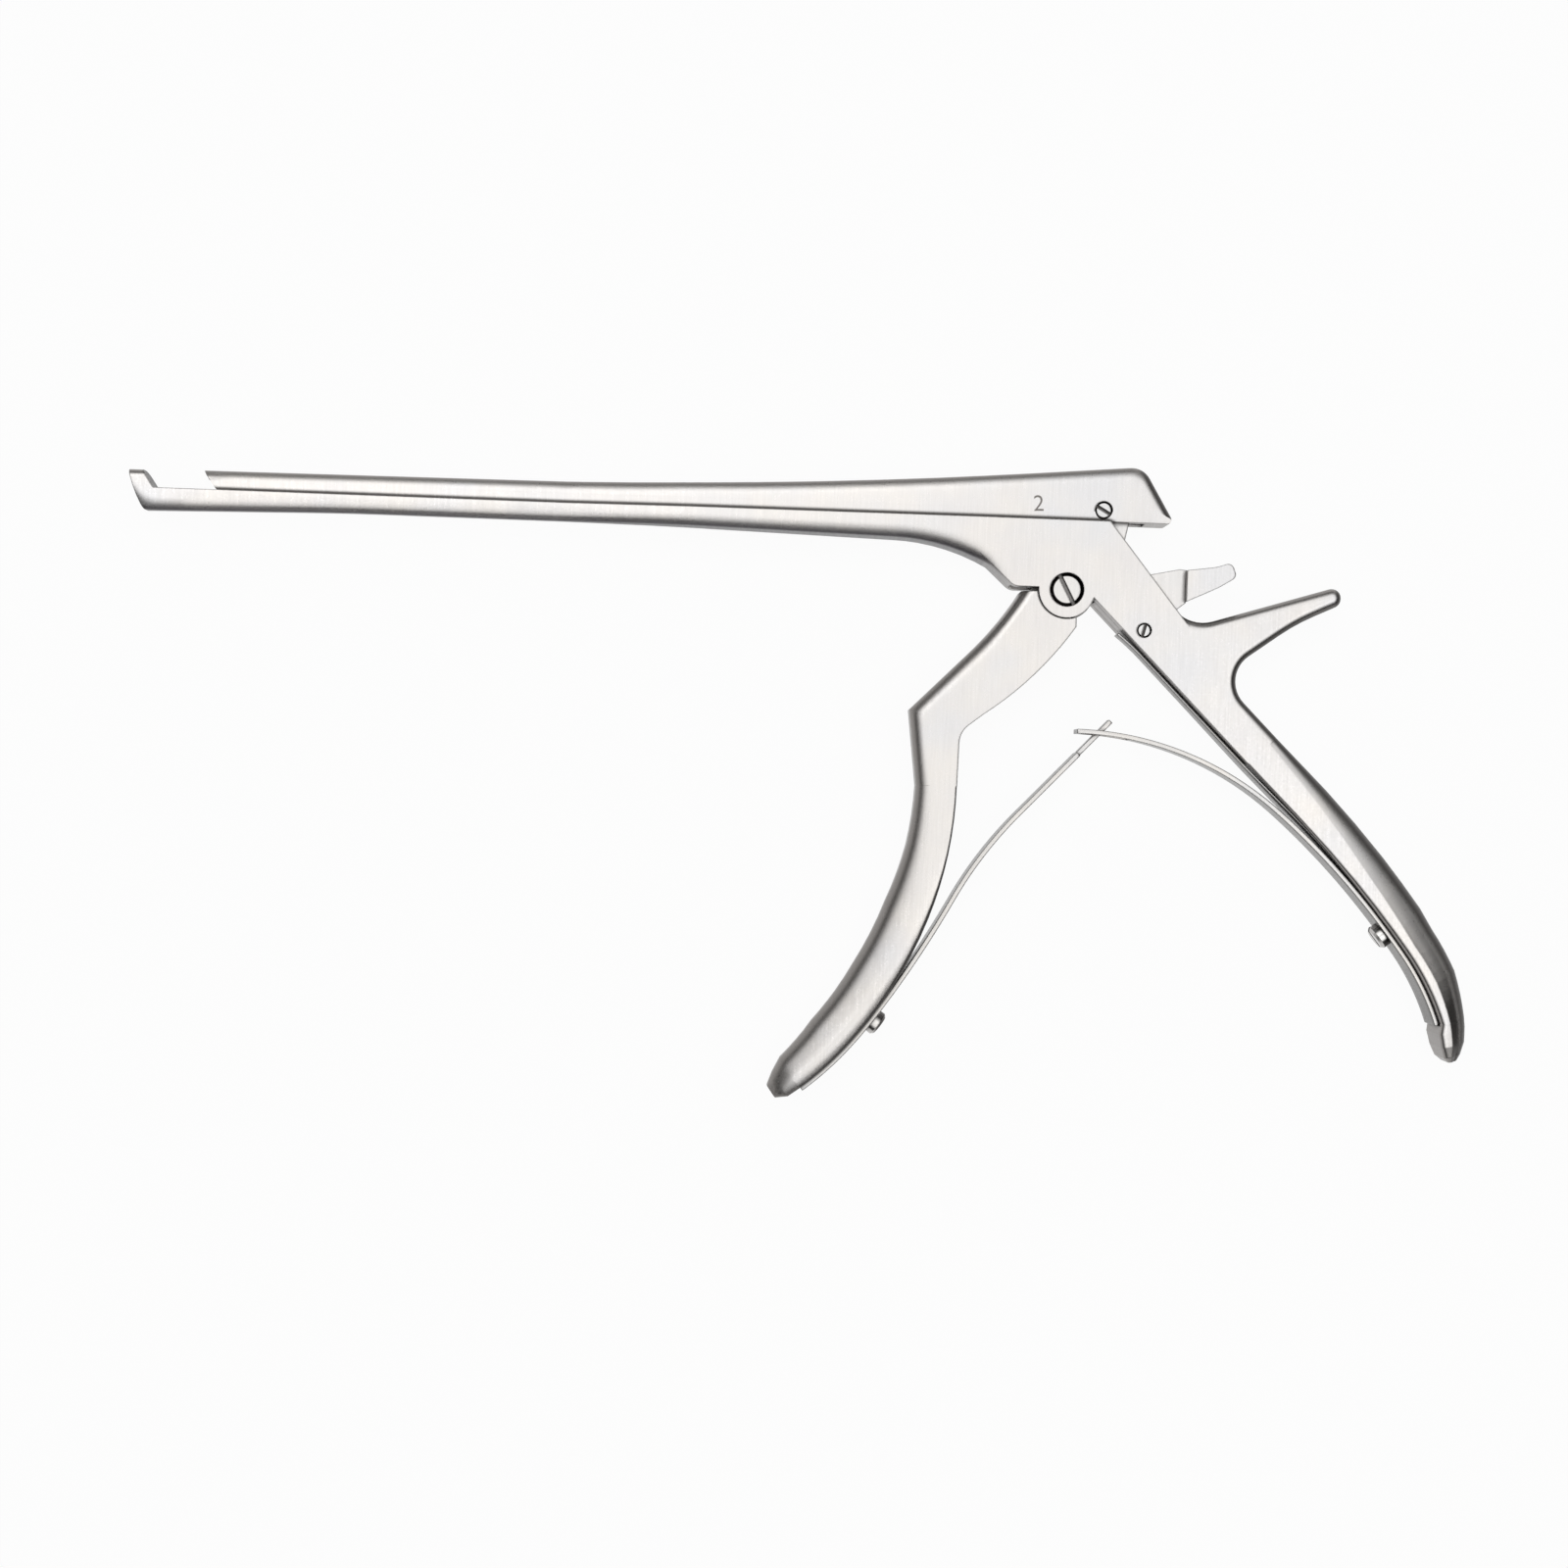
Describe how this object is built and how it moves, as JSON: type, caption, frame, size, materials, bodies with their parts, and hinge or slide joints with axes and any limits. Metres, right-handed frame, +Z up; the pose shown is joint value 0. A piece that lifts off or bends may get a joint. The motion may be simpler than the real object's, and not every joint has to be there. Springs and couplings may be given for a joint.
{
  "type": "bone rongeur",
  "caption": "Slender sliding-shaft laminectomy punch with two squeeze handles, interlocking leaf springs, a thumb spur and a release latch.",
  "frame": {"origin": "main pivot's axis where it meets the resting plane, on the side that lies on the table", "axes": "+Z up from the table along the pivot's axis, through the 9 mm thickness; -X along the shafts towards the jaws; +Y towards the sliding shaft, away from the handles"},
  "size_m": [0.2618, 0.1237, 0.009],
  "materials": {
    "satin_steel": "satin, fine grit-blasted",
    "bright_steel": "polished",
    "spring_steel": "ground spring steel"
  },
  "bodies": {
    "frame": {"main_frame": "satin_steel", "pivot_screw": "bright_steel", "latch_screw": "bright_steel", "rear_leaf_screw": "bright_steel"},
    "slider": {"slider_shaft": "satin_steel", "drive_screw": "bright_steel"},
    "trigger": {"trigger_handle": "satin_steel", "front_leaf_screw": "bright_steel"},
    "latch": {"latch_lever": "satin_steel"},
    "rear_leaf": {"rear_leaf_spring": "spring_steel"},
    "latch_leaf": {"latch_leaf_spring": "spring_steel"},
    "front_leaf": {"front_leaf_spring": "spring_steel"}
  },
  "joints": [
    {"name": "trigger_pivot", "type": "hinge", "parent": "frame", "child": "trigger", "pos_m": [0, 0, 0.0045], "axis": [0, 0, 1], "range_deg": [0, 42], "stiffness_Nm_per_rad": 0.8, "springref_deg": -17.19},
    {"name": "slider_slide", "type": "slide", "parent": "frame", "child": "slider", "axis": [-1, 0, 0], "range_m": [0, 0.0119]},
    {"name": "latch_pivot", "type": "hinge", "parent": "frame", "child": "latch", "pos_m": [0.01506, -0.00726, 0.0045], "axis": [0, 0, 1], "range_deg": [-12, 0], "stiffness_Nm_per_rad": 0.05, "springref_deg": 17.19},
    {"name": "rear_leaf_flex", "type": "hinge", "parent": "frame", "child": "rear_leaf", "pos_m": [0.0645, -0.0637, 0.0045], "axis": [0, 0, 1], "range_deg": [-8, 0], "deforming": ["rear_leaf_spring"]},
    {"name": "latch_leaf_flex", "type": "hinge", "parent": "frame", "child": "latch_leaf", "pos_m": [0.065, -0.0632, 0.0045], "axis": [0, 0, 1], "range_deg": [0, 1], "deforming": ["latch_leaf_spring"]},
    {"name": "front_leaf_flex", "type": "hinge", "parent": "trigger", "child": "front_leaf", "pos_m": [-0.0344, -0.084, 0.0045], "axis": [0, 0, 1], "range_deg": [0, 12], "deforming": ["front_leaf_spring"]}
  ],
  "couplings": [
    {"joint": "slider_slide", "follows": "trigger_pivot", "m_per_rad": 0.01621},
    {"joint": "rear_leaf_flex", "follows": "trigger_pivot", "ratio": -0.187},
    {"joint": "front_leaf_flex", "follows": "trigger_pivot", "ratio": 0.277},
    {"joint": "latch_leaf_flex", "follows": "latch_pivot", "ratio": -0.075}
  ]
}
